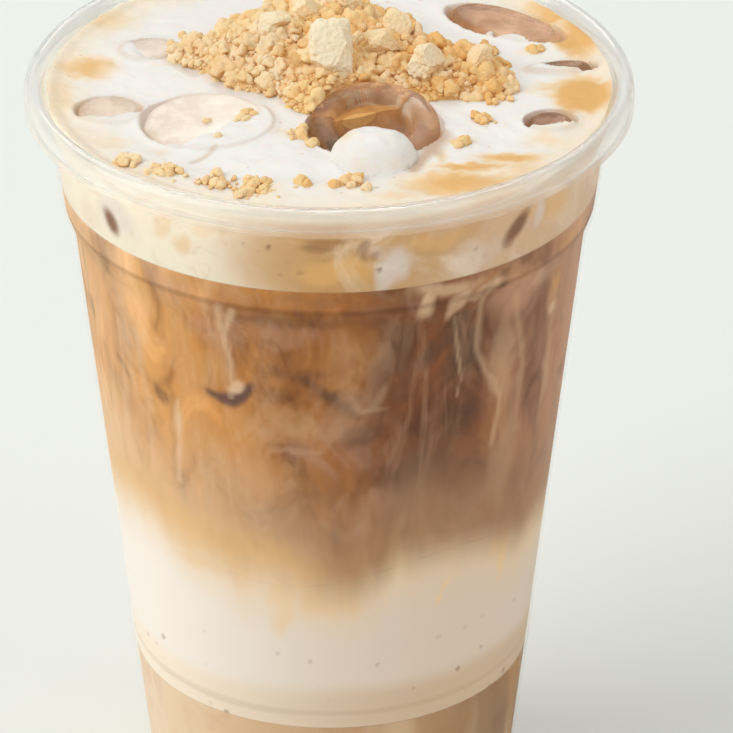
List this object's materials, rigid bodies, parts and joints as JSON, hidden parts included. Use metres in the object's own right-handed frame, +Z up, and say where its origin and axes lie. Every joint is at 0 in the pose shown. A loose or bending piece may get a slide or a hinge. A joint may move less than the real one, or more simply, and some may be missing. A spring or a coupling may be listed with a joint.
{
  "type": "iced latte in a clear cup",
  "caption": "Tall clear tapered plastic cup with a rolled rim, filled with layered iced milk coffee, foam, floating ice and a heap of nut-paste crumble.",
  "frame": {"origin": "centre of the cup's foot, on the surface that it stands on", "axes": "+Z up along the cup's axis; the front of the drink, with the hollow ice, faces -Y; +X is to the right of the front"},
  "size_m": [0.098, 0.098, 0.1489],
  "materials": {
    "clear_plastic": "clear, glossy moulded plastic",
    "syrup": "smooth brown milk and nut syrup behind clear plastic",
    "milk": "smooth cream-white milk behind clear plastic",
    "coffee": "marbled brown coffee with milk streaks behind clear plastic",
    "foam": "soft wet milk foam, white with cream and amber patches",
    "crumble": "dry golden crumbs, matt and grainy",
    "ice": "wet cloudy ice, smooth"
  },
  "bodies": {
    "root": {"cup": "clear_plastic", "syrup_layer": "syrup", "milk_layer": "milk", "coffee_layer": "coffee", "foam_layer": "foam", "crumble_heap": "crumble", "ice_front": "ice", "ice_left": "ice", "ice_far_left": "ice", "ice_back_right": "ice", "ice_right": "ice", "ice_right_front": "ice", "ice_back_left": "ice"}
  },
  "joints": []
}
